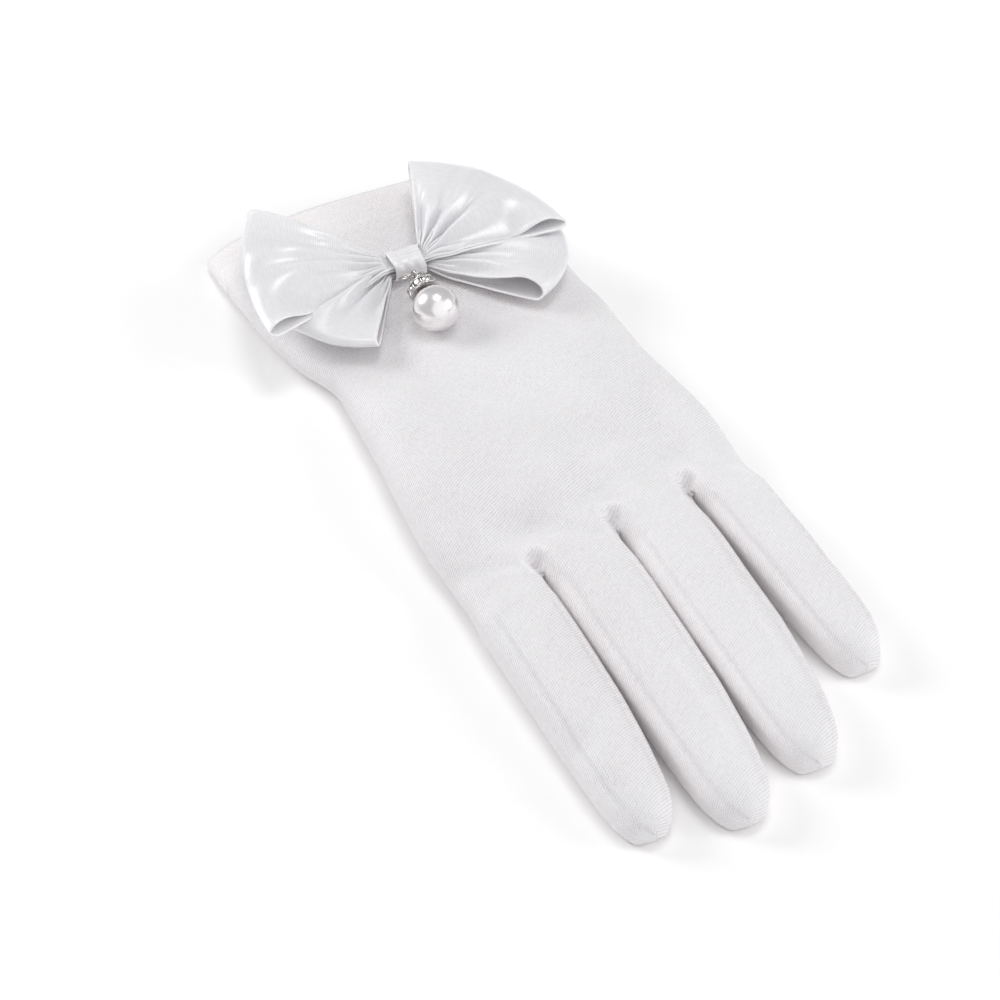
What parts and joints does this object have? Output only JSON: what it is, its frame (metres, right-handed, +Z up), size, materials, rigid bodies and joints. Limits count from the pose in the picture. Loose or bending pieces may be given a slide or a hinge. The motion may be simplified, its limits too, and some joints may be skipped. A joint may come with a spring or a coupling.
{
  "type": "dress glove",
  "caption": "Child's wrist length satin dress glove for the left hand, lying flat, with crossed ribbon bows and a bead drop on the back of the wrist.",
  "frame": {"origin": "on the floor, under the middle of the whole object's box", "axes": "+Z up from the palm to the back of the hand, fingers to -Y, cuff opening to +Y, index finger on the -X side"},
  "size_m": [0.0868, 0.2024, 0.0217],
  "materials": {
    "satin": "fine stretch satin, matt sheen",
    "ribbon": "glossy woven ribbon satin",
    "pearl": "pearl lacquer",
    "silver": "bright silver plate",
    "crystal_setting": "silver plate with clear faceted stones"
  },
  "bodies": {
    "root": {"back_panel": "satin", "palm_panel": "satin", "thumb": "satin", "fourchette_index_middle": "satin", "fourchette_middle_ring": "satin", "fourchette_ring_little": "satin", "lower_bow": "ribbon", "upper_bow": "ribbon", "knot_band": "ribbon", "sewn_ring": "silver", "eye_pin": "silver", "rondelle": "crystal_setting", "bead": "pearl"}
  },
  "joints": []
}
